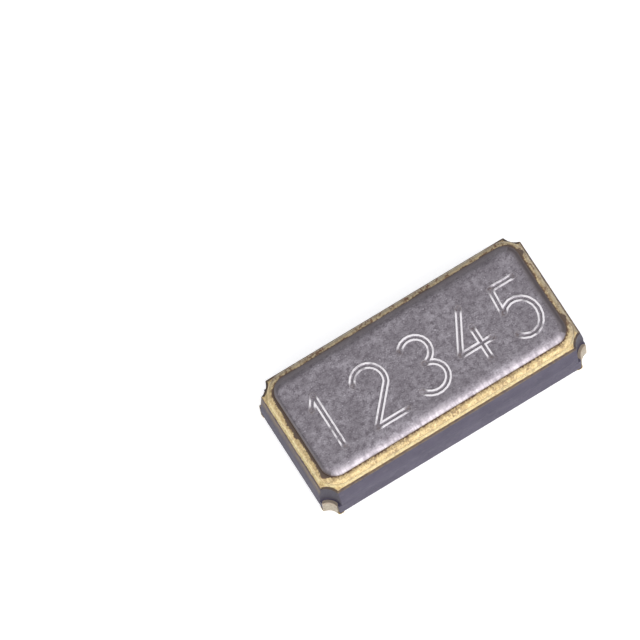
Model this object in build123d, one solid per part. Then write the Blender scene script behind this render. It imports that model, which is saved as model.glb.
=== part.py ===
from build123d import *
import os

# A quartz crystal in a ceramic package for surface mounting, in millimetres.
#
# Frame: the origin is the middle of the package on the mounting plane, where the underside of the
# solder pads lies. +X runs along the package from the two signal pads to the ground pad, +Y across
# it, and +Z up through the lid.
#
# Build order, as the real one is made: a co-fired alumina base with its printed metal, a seal ring
# brazed on its rim, a quartz tuning fork glued on the shelf inside, and a lid seam-welded on top.

# Ceramic base, three layers fired into one piece
LENGTH = 3.20            # over the ceramic
WIDTH = 1.50
FLOOR_LAYER = 0.24       # lowest layer, the cavity floor, with the plated corner notches
SHELF_LAYER = 0.12       # middle layer, the shelf that carries the fork
FRAME_LAYER = 0.24       # top layer, the wall round the cavity
WALL = 0.28              # wall left round the cavity
CAVITY_CORNER = 0.10
SHELF_REACH = 0.62       # from the cavity's signal end to the shelf's edge
NOTCH = 0.165            # radius of the corner notches in the two upper layers
PLATED_NOTCH = 0.135     # their smaller radius in the floor layer, before plating
SCORE_LEAN = 0.035       # how far the sides lean in over the frame layer, where the blade scored them

# Printed and plated metal on the ceramic
PAD_PRINT = 0.015        # thickness of the solder pads and of the notch plating
LINING_MARGIN = 0.02     # from the ceramic's sides to the ends of the plating in a notch
PAD_MARGIN = 0.09        # from the ceramic's edge to a pad's edge
PAD_ROUND = 0.02         # corner radius of the pads
SIGNAL_PAD_LENGTH = 0.77
SIGNAL_PAD_WIDTH = 0.44
GROUND_PAD_LENGTH = 0.82
GROUND_PAD_CHAMFER = 0.27   # the cut corner that tells the ends apart
EAR = 0.20               # radius of the ring printed round each notch on the underside
LEAD_PRINT = 0.012       # thickness of the inner pads and buried traces
TRACE_WIDTH = 0.08
VIA_RADIUS = 0.04
VIA_INSET = 0.07         # from the ground pad's outer edge to the ground via's axis
VIA_OFFSET = 0.30        # the ground via's distance from the long middle line
SEAL_PRINT = 0.015       # thickness of the metal printed on the rim
SEAL_MARGIN = 0.005      # from the ceramic's top edge to the rim metal's edge, and the same at a notch
SEAL_STEP_BACK = 0.03    # from the cavity's edge to the rim metal's inner edge

# Seal ring, braze and lid
RING_MARGIN = 0.035      # from the ceramic's top edge to the ring
RING_WIDTH = 0.17
RING_HEIGHT = 0.10
RING_CORNER = 0.24       # outer corner radius
RING_EDGE_ROUND = 0.03
BRAZE_FILM = 0.010       # silver-copper left under the ring
BRAZE_STEP = 0.005       # rim metal left bare outside its fillet
LID_INSET = 0.070        # from the ring's outer side to the lid's edge
LID_HEIGHT = 0.070
LID_EDGE_HEIGHT = 0.032  # what is left of the lid's height at its rolled-down edge
LID_ROLL = 0.12          # width of the border that the welding rollers press down

# Tuning fork, etched from one quartz wafer
FORK_THICKNESS = 0.10
FORK_END_GAP = 0.10      # from the cavity's signal end to the fork's base
FORK_TIP_GAP = 0.28      # from the arms' tips to the cavity's far end
BASE_LENGTH = 0.56
BASE_SHOULDER = 0.09     # how far the base stands out beyond the arms
WAIST_DEPTH = 0.09       # the two cuts that keep the arms' vibration out of the glued end
WAIST_WIDTH = 0.08
WAIST_PLACE = 0.36       # from the base's end to the middle of the waist cuts
ARM_WIDTH = 0.12
CROTCH = 0.14            # space between the arms
ROOT_ROUND = 0.04
HEAD_LENGTH = 0.36       # the wide, heavy end of an arm
HEAD_WIDTH = 0.18
GROOVE_WIDTH = 0.06
GROOVE_DEPTH = 0.035
GROOVE_LEAD = 0.06       # how far a groove runs back into the base
GROOVE_END_GAP = 0.50    # from a groove's far end to the head

# Films, mounting pads and glue under and on the fork
FILM = 0.004             # electrode film, drawn thicker than the real one to be a solid
RIBBON = 0.05            # width of an electrode along an arm
WRAP = 0.16              # width of an electrode where it wraps round the base's edge
WEIGHT_LENGTH = 0.28
WEIGHT_WIDTH = 0.14
WEIGHT_HEIGHT = 0.008
MOUNT_INSET = 0.24       # from the cavity's signal end to the glue dots
MOUNT_PITCH = 0.34       # between the two glue dots
MOUNT_PAD_LENGTH = 0.30
MOUNT_PAD_WIDTH = 0.24
DOT_RADIUS = 0.10
DOT_BULGE = 0.010        # how far the squeezed dot's side stands out at half its height
DOT_HEIGHT = 0.026

# Levels, from the mounting plane up
CERAMIC_BOTTOM = PAD_PRINT
SHELF_BOTTOM = CERAMIC_BOTTOM + FLOOR_LAYER
SHELF_TOP = SHELF_BOTTOM + SHELF_LAYER
CERAMIC_TOP = SHELF_TOP + FRAME_LAYER
SEAL_TOP = CERAMIC_TOP + SEAL_PRINT
RING_BOTTOM = SEAL_TOP + BRAZE_FILM
RING_TOP = RING_BOTTOM + RING_HEIGHT
LID_TOP = RING_TOP + LID_HEIGHT
MOUNT_TOP = SHELF_TOP + LEAD_PRINT
FORK_BOTTOM = MOUNT_TOP + DOT_HEIGHT + FILM
FORK_TOP = FORK_BOTTOM + FORK_THICKNESS

# Places that several pieces share
CAVITY_LENGTH = LENGTH - 2 * WALL
CAVITY_WIDTH = WIDTH - 2 * WALL
SIGNAL_END = -CAVITY_LENGTH / 2
RING_LENGTH = LENGTH - 2 * (SCORE_LEAN + RING_MARGIN)
RING_SPAN = WIDTH - 2 * (SCORE_LEAN + RING_MARGIN)
ARM_PLACE = (CROTCH + ARM_WIDTH) / 2
BASE_HALF_WIDTH = CROTCH / 2 + ARM_WIDTH + BASE_SHOULDER
FORK_START = SIGNAL_END + FORK_END_GAP
ARM_ROOT = FORK_START + BASE_LENGTH
ARM_TIP = CAVITY_LENGTH / 2 - FORK_TIP_GAP
HEAD_START = ARM_TIP - HEAD_LENGTH
GROOVE_START = ARM_ROOT - GROOVE_LEAD
GROOVE_END = HEAD_START - GROOVE_END_GAP
MOUNT_X = SIGNAL_END + MOUNT_INSET
CORNERS = [(x * LENGTH / 2, y * WIDTH / 2) for x in (-1, 1) for y in (-1, 1)]


def prism(sketch, bottom, top):
    """A flat outline carried straight up between two levels."""
    return Pos(0, 0, bottom) * extrude(sketch, amount=top - bottom)


def block(x, y, z):
    """A box between the two limits given for each axis."""
    size = [high - low for low, high in (x, y, z)]
    return Pos(*[(low + high) / 2 for low, high in (x, y, z)]) * Box(*size)


def corner_discs(radius):
    """A disc centred on each corner of the package."""
    return Sketch() + [Pos(*corner) * Circle(radius) for corner in CORNERS]


def outline(margin=0.0):
    """The package's rectangle, drawn in from the ceramic's edge by a margin."""
    return Rectangle(LENGTH - 2 * margin, WIDTH - 2 * margin)


def ceramic_base(buried):
    """The fired base: floor, shelf and frame layers in one, with room for the metal inside it."""
    opening = RectangleRounded(CAVITY_LENGTH, CAVITY_WIDTH, CAVITY_CORNER)
    pocket = opening & Pos(SHELF_REACH, 0) * Rectangle(CAVITY_LENGTH, CAVITY_WIDTH)
    floor = prism(outline() - corner_discs(PLATED_NOTCH), CERAMIC_BOTTOM, SHELF_BOTTOM)
    shelf = prism(outline() - corner_discs(NOTCH) - pocket, SHELF_BOTTOM, SHELF_TOP)
    frame = loft([Pos(0, 0, SHELF_TOP) * outline(), Pos(0, 0, CERAMIC_TOP) * outline(SCORE_LEAN)])
    frame -= prism(corner_discs(NOTCH) + opening, SHELF_TOP, CERAMIC_TOP)
    return floor + shelf + frame - buried


def terminal(flat):
    """A solder pad: the flat print, the ring round each notch it reaches, and the notch's lining."""
    inside = PLATED_NOTCH - PAD_PRINT
    reached = [corner for corner in CORNERS if flat.distance_to(Vector(*corner)) < EAR]
    here = Sketch() + [Pos(*corner) * Circle(EAR) for corner in reached]
    under = (flat + (here & outline())) - corner_discs(inside)
    lining = (here & outline(LINING_MARGIN) & corner_discs(PLATED_NOTCH)) - corner_discs(inside)
    return prism(under, 0, CERAMIC_BOTTOM) + prism(lining, CERAMIC_BOTTOM, SHELF_BOTTOM)


def signal_pad(side):
    """One of the two small pads at the signal end."""
    flat = RectangleRounded(SIGNAL_PAD_LENGTH, SIGNAL_PAD_WIDTH, PAD_ROUND)
    x = -LENGTH / 2 + PAD_MARGIN + SIGNAL_PAD_LENGTH / 2
    y = WIDTH / 2 - PAD_MARGIN - SIGNAL_PAD_WIDTH / 2
    return terminal(Pos(x, side * y) * flat)


def ground_pad():
    """The large pad at the far end, with one inner corner cut off."""
    width = WIDTH - 2 * PAD_MARGIN
    flat = Rectangle(GROUND_PAD_LENGTH, width)
    inner = flat.vertices().group_by(Axis.X)[0].sort_by(Axis.Y)
    flat = chamfer(inner[0], GROUND_PAD_CHAMFER)
    flat = fillet(flat.vertices().sort_by(Axis.Y)[-2:], PAD_ROUND)
    return terminal(Pos(LENGTH / 2 - PAD_MARGIN - GROUND_PAD_LENGTH / 2, 0) * flat)


def inner_lead(side):
    """A mounting pad on the shelf, its via down one layer, and the trace out to the corner notch."""
    place = (MOUNT_X, side * MOUNT_PITCH / 2)
    pad = Pos(*place) * RectangleRounded(MOUNT_PAD_LENGTH, MOUNT_PAD_WIDTH, PAD_ROUND)
    via = Pos(*place) * Circle(VIA_RADIUS)
    run = trace(Line(place, (-LENGTH / 2, side * WIDTH / 2)), TRACE_WIDTH) - corner_discs(PLATED_NOTCH)
    bed = SHELF_BOTTOM - LEAD_PRINT
    return prism(pad, SHELF_TOP, MOUNT_TOP) + prism(via, bed, SHELF_TOP) + prism(run, bed, SHELF_BOTTOM)


def ground_via():
    """The metal column that joins the rim metal, and so the ring and the lid, to the ground pad."""
    place = Pos(LENGTH / 2 - PAD_MARGIN - VIA_INSET, VIA_OFFSET)
    return prism(place * Circle(VIA_RADIUS), CERAMIC_BOTTOM, CERAMIC_TOP)


def rim_outline():
    """The rim metal's outer edge, which stops just short of the ceramic's top edge and its notches."""
    return outline(SCORE_LEAN + SEAL_MARGIN) - corner_discs(NOTCH + SEAL_MARGIN)


def rim_metal():
    """The metal printed and plated on the rim of the ceramic, to which the ring is brazed."""
    opening = RectangleRounded(CAVITY_LENGTH + 2 * SEAL_STEP_BACK, CAVITY_WIDTH + 2 * SEAL_STEP_BACK,
                               CAVITY_CORNER + SEAL_STEP_BACK)
    return prism(rim_outline() - opening, CERAMIC_TOP, SEAL_TOP)


def ring_outline(inset=0.0):
    """The ring's outer edge, or a line inside it at the same distance all round."""
    return RectangleRounded(RING_LENGTH - 2 * inset, RING_SPAN - 2 * inset, RING_CORNER - inset)


def carried_round(section, path):
    """A section carried round a closed flat path, with its x outwards from the path and its y up."""
    along = path % 0
    start = Plane(origin=path @ 0, x_dir=along.cross(Vector(0, 0, 1)), z_dir=-along)
    return sweep(start * section, path=path)


def ring_hole():
    """The opening of the seal ring."""
    return RectangleRounded(RING_LENGTH - 2 * RING_WIDTH, RING_SPAN - 2 * RING_WIDTH,
                            max(RING_CORNER - RING_WIDTH, RING_EDGE_ROUND))


def seal_ring():
    """The punched alloy frame between the ceramic and the lid, with its outer top edge eased."""
    blank = prism(ring_outline(), RING_BOTTOM, RING_TOP)
    blank = fillet(blank.faces().sort_by(Axis.Z)[-1].edges(), RING_EDGE_ROUND)
    return blank - prism(ring_hole(), RING_BOTTOM, RING_TOP)


def braze():
    """The silver-copper film under the ring and the hollow fillet that it draws up the outer side."""
    reach = RING_MARGIN - SEAL_MARGIN - BRAZE_STEP
    foot = prism(ring_outline(-reach - BRAZE_STEP), CERAMIC_TOP, SEAL_TOP)
    post = prism(ring_outline(), SEAL_TOP, RING_TOP)
    step = (foot + post).faces().filter_by(Axis.Z).sort_by(Axis.Z)[1]
    drawn_up = fillet(step.inner_wires()[0].edges(), reach)
    above_rim = drawn_up & prism(rim_outline(), SEAL_TOP, RING_TOP)
    ring_room = prism(ring_outline(), RING_BOTTOM, RING_TOP)
    return above_rim - ring_room - prism(ring_hole(), SEAL_TOP, RING_BOTTOM)


def lid():
    """The lid plate, whose border the welding rollers have rolled down into a soft slope."""
    edge = ring_outline(LID_INSET)
    crown = TangentArc((-LID_ROLL, LID_HEIGHT), (0, LID_EDGE_HEIGHT), tangent=(1, 0))
    above = 2 * LID_HEIGHT
    outside = Polyline((0, LID_EDGE_HEIGHT), (LID_ROLL, LID_EDGE_HEIGHT), (LID_ROLL, above),
                       (-LID_ROLL, above), (-LID_ROLL, LID_HEIGHT))
    shaving = carried_round(make_face(crown + outside), Pos(0, 0, RING_TOP) * edge.wire())
    return prism(edge, RING_TOP, LID_TOP) - shaving


def fork_outline():
    """The fork's plan: glued base, waist cuts, two arms and their wide heads."""
    base = Pos((FORK_START + ARM_ROOT) / 2, 0) * Rectangle(BASE_LENGTH, 2 * BASE_HALF_WIDTH)
    arm = Pos((ARM_ROOT + ARM_TIP) / 2, ARM_PLACE) * Rectangle(ARM_TIP - ARM_ROOT, ARM_WIDTH)
    head = Pos((HEAD_START + ARM_TIP) / 2, ARM_PLACE) * Rectangle(HEAD_LENGTH, HEAD_WIDTH)
    cut = Pos(FORK_START + WAIST_PLACE, BASE_HALF_WIDTH) * Rectangle(WAIST_WIDTH, 2 * WAIST_DEPTH)
    plan = base - cut - mirror(cut, Plane.XZ) + arm + head + mirror(arm + head, Plane.XZ)
    roots = [v for v in plan.vertices() if abs(v.X - ARM_ROOT) < 1e-6 and abs(v.Y) < BASE_HALF_WIDTH - 1e-6]
    return fillet(roots, min(ROOT_ROUND, 0.45 * CROTCH))


def tuning_fork():
    """The quartz blank, with a groove etched into both faces of each arm."""
    blank = prism(fork_outline(), FORK_BOTTOM, FORK_TOP)
    for side in (-1, 1):
        across = (side * ARM_PLACE - GROOVE_WIDTH / 2, side * ARM_PLACE + GROOVE_WIDTH / 2)
        blank -= block((GROOVE_START, GROOVE_END), across, (FORK_TOP - GROOVE_DEPTH, FORK_TOP))
        blank -= block((GROOVE_START, GROOVE_END), across, (FORK_BOTTOM, FORK_BOTTOM + GROOVE_DEPTH))
    return blank


def electrode(side):
    """One metal film: from the glue dot round the base's edge, along its top and down the groove."""
    floor = FORK_TOP - GROOVE_DEPTH
    contact = (MOUNT_X - DOT_RADIUS, MOUNT_X + DOT_RADIUS)
    wrap = (MOUNT_X - WRAP / 2, MOUNT_X + WRAP / 2)
    along = (ARM_PLACE - RIBBON / 2, ARM_PLACE + RIBBON / 2)
    edge = BASE_HALF_WIDTH + FILM
    film = block(contact, (MOUNT_PITCH / 2 - DOT_RADIUS, BASE_HALF_WIDTH), (FORK_BOTTOM - FILM, FORK_BOTTOM))
    film += block(wrap, (along[0], edge), (FORK_TOP, FORK_TOP + FILM))
    film += block(wrap, (along[0], edge), (FORK_BOTTOM - FILM, FORK_BOTTOM))
    film += block(wrap, (BASE_HALF_WIDTH, edge), (FORK_BOTTOM, FORK_TOP))
    film += block((MOUNT_X, GROOVE_START + FILM), along, (FORK_TOP, FORK_TOP + FILM))
    film += block((GROOVE_START, GROOVE_START + FILM), along, (floor, FORK_TOP))
    film += block((GROOVE_START, GROOVE_END), along, (floor, floor + FILM))
    return film if side > 0 else mirror(film, Plane.XZ)


def tip_weight(side):
    """The gold patch on an arm's head, from which a laser takes a little to set the frequency."""
    place = Pos((HEAD_START + ARM_TIP) / 2, side * ARM_PLACE)
    return prism(place * Rectangle(WEIGHT_LENGTH, WEIGHT_WIDTH), FORK_TOP, FORK_TOP + WEIGHT_HEIGHT)


def glue_dot(side):
    """A dot of silver-filled glue, squeezed between the shelf's pad and the fork's base."""
    foot, bulge, head = (DOT_RADIUS, 0), (DOT_RADIUS + DOT_BULGE, DOT_HEIGHT / 2), (DOT_RADIUS, DOT_HEIGHT)
    half = make_face(ThreePointArc(foot, bulge, head) + Polyline(head, (0, DOT_HEIGHT), (0, 0), foot))
    return Pos(MOUNT_X, side * MOUNT_PITCH / 2, MOUNT_TOP) * revolve(Plane.XZ * half, Axis.Z)


def package():
    """Every piece by its name; the pieces that come in twos end in 1 at -Y and 2 at +Y."""
    pieces = {"ground_pad": ground_pad(), "ground_via": ground_via(), "rim_metal": rim_metal(),
              "braze": braze(), "seal_ring": seal_ring(), "lid": lid(), "tuning_fork": tuning_fork()}
    pairs = {"signal_pad": signal_pad, "inner_lead": inner_lead, "glue_dot": glue_dot,
             "electrode": electrode, "tip_weight": tip_weight}
    for name, make in pairs.items():
        pieces |= {f"{name}_1": make(-1), f"{name}_2": make(1)}
    buried = pieces["inner_lead_1"] + pieces["inner_lead_2"] + pieces["ground_via"]
    return {"ceramic_base": ceramic_base(buried)} | pieces


os.makedirs("parts", exist_ok=True)
for name, piece in package().items():
    piece.label = name
    export_step(piece, f"parts/{name}.step")
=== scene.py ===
import math

import bpy
import numpy as np
from mathutils import Matrix, Vector


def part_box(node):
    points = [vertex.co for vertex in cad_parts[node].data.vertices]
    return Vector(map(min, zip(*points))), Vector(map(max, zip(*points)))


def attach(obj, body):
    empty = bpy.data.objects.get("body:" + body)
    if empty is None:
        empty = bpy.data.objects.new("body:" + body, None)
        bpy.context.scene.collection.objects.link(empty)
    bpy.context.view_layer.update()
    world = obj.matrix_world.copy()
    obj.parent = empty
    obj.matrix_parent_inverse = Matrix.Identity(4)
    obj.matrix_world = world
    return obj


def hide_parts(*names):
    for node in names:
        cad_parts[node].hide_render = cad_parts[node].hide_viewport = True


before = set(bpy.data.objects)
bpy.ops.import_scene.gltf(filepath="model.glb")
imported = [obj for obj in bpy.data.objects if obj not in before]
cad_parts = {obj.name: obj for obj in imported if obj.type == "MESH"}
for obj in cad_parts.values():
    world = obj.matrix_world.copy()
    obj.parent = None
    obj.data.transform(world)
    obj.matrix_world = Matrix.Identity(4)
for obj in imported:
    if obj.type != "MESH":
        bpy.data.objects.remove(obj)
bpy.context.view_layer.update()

# ------------------------------
# Ceramic base: alumina stained a dark purple-grey, three layers pressed together and fired as one.
# It is snapped out of a sheet along scored lines, so its sides are smooth near the top and bottom
# and broken in between, and each corner keeps a quarter of a hole punched before the firing.
MM = 0.001
ceramic_low, ceramic_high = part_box("ceramic_base")
half_length, half_width = ceramic_high.x, ceramic_high.y
plated_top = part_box("signal_pad_1")[1].z         # top of the floor layer, where the plating ends
lead_thickness = 0.012 * MM
shelf_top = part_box("inner_lead_1")[1].z - lead_thickness
notch, plated_notch = 0.165 * MM, 0.135 * MM     # radii in the upper layers and in the floor layer
cavity_wall, cavity_corner, shelf_reach = 0.28 * MM, 0.10 * MM, 0.62 * MM
pocket_clear, pocket_corner = 0.004 * MM, 0.08 * MM
worn_edge, bite_depth, ledge_step = 0.008 * MM, 0.0055 * MM, 0.003 * MM
SHORT_POINTS, CORNER_POINTS, LONG_POINTS = 56, 30, 140
ALUMINA_DARK, ALUMINA_LIGHT = (0.058, 0.050, 0.082, 1), (0.084, 0.074, 0.112, 1)
PALE_GRAIN, DARK_SPECK = (0.122, 0.108, 0.146, 1), (0.045, 0.040, 0.060, 1)
# the second colour is painted shade for the inside of the corner notches
RUBBED_ALUMINA, NOTCH_SHADE_ALUMINA = (0.128, 0.116, 0.150, 1), (0.048, 0.043, 0.055, 1)
GILT_SMEAR = (0.30, 0.215, 0.110, 1)


def outline(half_x, half_y, corner, notch_out=None):
    """Points round a closed outline, anticlockwise from the middle of the +X end.

    Straight sides meet in a quarter circle of radius corner, about a centre one radius in from both
    sides. With notch_out it is cut inwards instead, about a centre that far out from both sides.
    """
    if notch_out is None:
        turn = np.linspace(0, np.pi / 2, CORNER_POINTS, endpoint=False)
        straight_x, straight_y = half_x - corner, half_y - corner
        arc_x, arc_y = straight_x + corner * np.cos(turn), straight_y + corner * np.sin(turn)
    else:
        start = np.arcsin(notch_out / corner)
        turn = np.linspace(start, np.pi / 2 - start, CORNER_POINTS, endpoint=False)
        centre_x, centre_y = half_x + notch_out, half_y + notch_out
        arc_x, arc_y = centre_x - corner * np.sin(turn), centre_y - corner * np.cos(turn)
        straight_x, straight_y = centre_x - corner * np.cos(start), arc_y[0]
    short = np.linspace(0, straight_y, SHORT_POINTS, endpoint=False)
    long = np.linspace(straight_x, 0, LONG_POINTS + 1)
    x = np.concatenate([np.full(SHORT_POINTS, half_x), arc_x, long])
    y = np.concatenate([short, arc_y, np.full(LONG_POINTS + 1, half_y)])
    quarter = np.stack([x, y], 1)
    mirrored = (quarter * (-1, 1))[::-1]
    return np.concatenate([quarter[:-1], mirrored[:-1], -quarter[:-1], -mirrored[:-1]])


def outward(rings):
    """Unit vectors square to closed outlines and pointing out of them, from each point's neighbours."""
    along = np.roll(rings, -1, -2) - np.roll(rings, 1, -2)
    square = np.stack([along[..., 1], -along[..., 0]], -1)
    return square / np.linalg.norm(square, axis=-1, keepdims=True)


def eased(rings, passes):
    """Closed outlines with their sharp corners worn: each point moves towards its neighbours' middle."""
    for _ in range(passes):
        rings = (np.roll(rings, 1, -2) + 2 * rings + np.roll(rings, -1, -2)) / 4
    return rings


def rough(points, size, seed):
    """Smooth random values from -1 to 1: a lattice of random numbers size apart, blended in between."""
    cells = 64
    lattice = np.random.default_rng(seed).uniform(-1, 1, (cells, cells, cells))
    cell = points / size
    start = np.floor(cell).astype(int)
    part = cell - start
    part = part * part * (3 - 2 * part)
    value = np.zeros(points.shape[:-1])
    for corner in np.ndindex(2, 2, 2):
        weight = np.prod(np.where(corner, part, 1 - part), axis=-1)
        x, y, z = np.moveaxis((start + corner) % cells, -1, 0)
        value += weight * lattice[x, y, z]
    return value


def raised(rings, heights):
    """Flat outlines lifted to their heights, one height for each outline."""
    z = np.broadcast_to(np.asarray(heights)[:, None, None], rings.shape[:2] + (1,))
    return np.concatenate([rings, z], -1)


def skinned(rings, ends, start=0):
    """Points and faces of a closed surface through a stack of rings, in quads from ring to ring.

    With ends "joined" the last ring is joined to the first. With "points" the first and last rings are
    drawn to a point in their middle, and with "flat" each is filled by one flat face. Rings run
    anticlockwise and in the order out, up, in, down. The points are numbered from start.
    """
    count, around = rings.shape[:2]
    index = start + np.arange(count * around).reshape(count, around)
    lower, upper = (index, np.roll(index, -1, 0)) if ends == "joined" else (index[:-1], index[1:])
    quads = np.stack([lower, np.roll(lower, -1, 1), np.roll(upper, -1, 1), upper], -1)
    faces = quads.reshape(-1, 4).tolist()
    points = rings.reshape(-1, 3)
    if ends == "flat":
        faces += [index[0, ::-1].tolist(), index[-1].tolist()]
    if ends == "points":
        points = np.concatenate([points, rings[0].mean(0)[None], rings[-1].mean(0)[None]])
        first = np.full(around, start + count * around)
        faces += np.stack([first, np.roll(index[0], -1), index[0]], -1).tolist()
        faces += np.stack([index[-1], np.roll(index[-1], -1), first + 1], -1).tolist()
    return points, faces


def placed(name, data):
    """A new object in the scene for a mesh, a light or a camera."""
    made = bpy.data.objects.new(name, data)
    bpy.context.scene.collection.objects.link(made)
    return made


def surface(name, points, faces):
    """A mesh object, shaded smooth except across edges that turn by more than 40 degrees."""
    mesh = bpy.data.meshes.new(name)
    mesh.from_pydata(points.tolist(), [], faces)
    mesh.shade_smooth()
    mesh.set_sharp_from_angle(angle=math.radians(40))
    return placed(name, mesh)


def mark(piece, name, values):
    """Stores one number for each vertex of a piece, for its material to read."""
    attribute = piece.data.attributes.new(name, "FLOAT", "POINT")
    attribute.data.foreach_set("value", np.asarray(values, np.float32).ravel())


def add(tree, kind, inputs=None, **settings):
    """A new shader node. Each input gets a plain value, or a link if it is another node's output. The
    functions below take their tree from the output or node they are given (its id_data)."""
    made = tree.nodes.new("ShaderNode" + kind)
    for key, value in settings.items():
        setattr(made, key, value)
    for key, value in (inputs or {}).items():
        if isinstance(value, bpy.types.NodeSocket):
            tree.links.new(value, made.inputs[key])
        else:
            made.inputs[key].default_value = value
    return made


def reading(place, name):
    """The number that a piece's mark of this name holds."""
    return add(place.id_data, "Attribute", attribute_name=name).outputs["Fac"]


def noise(place, size, detail):
    """A noise texture whose lumps are about size across, as a value from 0 to 1."""
    inputs = {"Vector": place, "Scale": 1 / size, "Detail": detail}
    return add(place.id_data, "TexNoise", inputs).outputs["Fac"]


def between(value, low, high, out_low=0.0, out_high=1.0):
    """A value carried smoothly from the range low..high to out_low..out_high, and held beyond it."""
    inputs = {"Value": value, "From Min": low, "From Max": high, "To Min": out_low, "To Max": out_high}
    return add(value.id_data, "MapRange", inputs, interpolation_type="SMOOTHSTEP").outputs["Result"]


def worked(operation, first, second=0.0):
    """One arithmetic step on one or two values."""
    return add(first.id_data, "Math", {0: first, 1: second}, operation=operation).outputs[0]


def times(first, second):
    """The product of two values."""
    return worked("MULTIPLY", first, second)


def blended(share, first, second):
    """Two colours blended by a share from 0 to 1."""
    return add(share.id_data, "Mix", {0: share, 6: first, 7: second}, data_type="RGBA").outputs[2]


def finish_of(name, **sockets):
    """A material with one Principled BSDF, that shader, and the piece's own coordinates."""
    material = bpy.data.materials.new(name)
    material.use_nodes = True
    shader = material.node_tree.nodes["Principled BSDF"]
    for socket, value in sockets.items():
        shader.inputs[socket.replace("_", " ")].default_value = value
    return material, shader, add(material.node_tree, "TexCoord").outputs["Object"]


def feed(shader, height, depth, **values):
    """Links values that vary over the surface to the shader's sockets, and a height as fine relief,
    which stands depth metres tall where the height is 1."""
    tree = shader.id_data
    bump = add(tree, "Bump", {"Height": height, "Distance": depth, "Strength": 1.0})
    tree.links.new(bump.outputs["Normal"], shader.inputs["Normal"])
    for socket, value in values.items():
        tree.links.new(value, shader.inputs[socket.replace("_", " ")])


def ceramic_rings():
    """The base's rings, from the middle of its underside out, up the sides, in over the rim and down
    into the cavity: sides set in by a profile, with a random break between the scored zones."""
    ease = np.linspace(0, np.pi / 2, 4)
    floor_rows, upper_rows = 16, 27
    score_z = np.array([0.0, 0.085, 0.105, 0.225, 0.240, 0.255, 0.340, 0.350, 0.362, 0.372, 0.60]) * MM
    score_in = np.array([0.006, 0.001, 0.0, 0.0, 0.001, 0.0, 0.001, 0.004, 0.006, 0.005, 0.034]) * MM
    floor_wall = np.linspace(ceramic_low.z + worn_edge, plated_top, floor_rows)
    upper_wall = np.linspace(plated_top + ledge_step, ceramic_high.z - worn_edge, upper_rows)
    z = np.concatenate([ceramic_low.z + worn_edge * (1 - np.cos(ease[:-1])), floor_wall, upper_wall,
                        ceramic_high.z - worn_edge * (1 - np.sin(ease[1:]))])
    inset = np.interp(z - ceramic_low.z, score_z, score_in)
    inset[:3] += worn_edge * (1 - np.sin(ease[:-1]))
    inset[-3:] += worn_edge * (1 - np.cos(ease[1:]))
    radius = np.where(np.arange(len(z)) < 3 + floor_rows, plated_notch, notch)
    sides = np.stack([outline(half_length - i, half_width - i, r, i) for i, r in zip(inset, radius)])
    sides = raised(eased(sides, 2), z)
    break_z, break_share = np.array([0, 0.09, 0.12, 0.33, 0.36, 0.6]) * MM, [0.25, 0.3, 1, 1, 0.3, 0.2]
    broken = np.interp(z - ceramic_low.z, break_z, break_share)
    to_corner = np.hypot(abs(sides[..., 0]) - half_length, abs(sides[..., 1]) - half_width)
    smoother = np.where(to_corner < 0.18 * MM, 0.3, 1)           # a punched notch isn't snapped
    coarse, fine = rough(sides * (1, 1, 0.45), 0.045 * MM, 3), rough(sides, 0.016 * MM, 4)
    bite = np.clip(0.5 + 0.5 * coarse + 0.3 * fine, 0, None)
    bite = bite * bite_depth * broken[:, None] * smoother
    sides[..., :2] -= outward(sides[..., :2]) * bite[..., None]
    cavity_x, cavity_y = half_length - cavity_wall, half_width - cavity_wall
    cavity = outline(cavity_x, cavity_y, cavity_corner)
    pocket = outline(cavity_x - shelf_reach / 2, cavity_y - pocket_clear, pocket_corner)
    pocket = pocket + (shelf_reach / 2 - pocket_clear, 0)
    share = np.array([0.12, 0.35, 0.6, 0.8, 0.93])[:, None, None]
    under = raised(share * sides[0, :, :2], np.full(5, ceramic_low.z))
    over = raised(sides[-1, :, :2] * (1 - share) + cavity * share, np.full(5, ceramic_high.z))
    down = raised(np.stack([cavity, cavity, pocket, pocket]),
                  [ceramic_high.z, shelf_top, shelf_top, plated_top])
    bed = raised(pocket * (1 - share) + pocket.mean(0) * share, np.full(5, plated_top))
    return np.concatenate([under, sides, over, down, bed])


def fired_alumina():
    """Dark stained alumina: cloudy purple-grey with a fine light and dark grain, rubbed paler in
    patches. The gilt mark browns it where gold was smeared on, and the notch-shade mark darkens it
    inside the upper corner notches as painted shade."""
    material, shader, place = finish_of("fired_alumina", IOR=1.6, Specular_IOR_Level=0.15)
    cloud, grain = noise(place, 0.25 * MM, 4), noise(place, 0.012 * MM, 2)
    speck = between(noise(place, 0.02 * MM, 1), 0.70, 0.78, 0.0, 0.7)
    worn = between(noise(place, 0.09 * MM, 4), 0.56, 0.70, 0.0, 0.35)
    patchy = between(noise(place, 0.05 * MM, 3), 0.30, 0.60, 0.35, 1.0)
    tone = blended(between(cloud, 0.3, 0.7), ALUMINA_DARK, ALUMINA_LIGHT)
    tone = blended(between(grain, 0.35, 0.7, 0.0, 0.5), tone, PALE_GRAIN)
    tone = blended(speck, tone, DARK_SPECK)
    tone = blended(worn, tone, RUBBED_ALUMINA)
    tone = blended(times(reading(place, "gilt"), patchy), tone, GILT_SMEAR)
    # painted shade: a darker tone inside the upper corner notches
    tone = blended(times(reading(place, "notch_shade"), 0.65), tone, NOTCH_SHADE_ALUMINA)
    feed(shader, worked("ADD", grain, cloud), 0.0010 * MM,
         Base_Color=tone, Roughness=between(grain, 0.2, 0.8, 0.5, 0.68))
    return material


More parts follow.
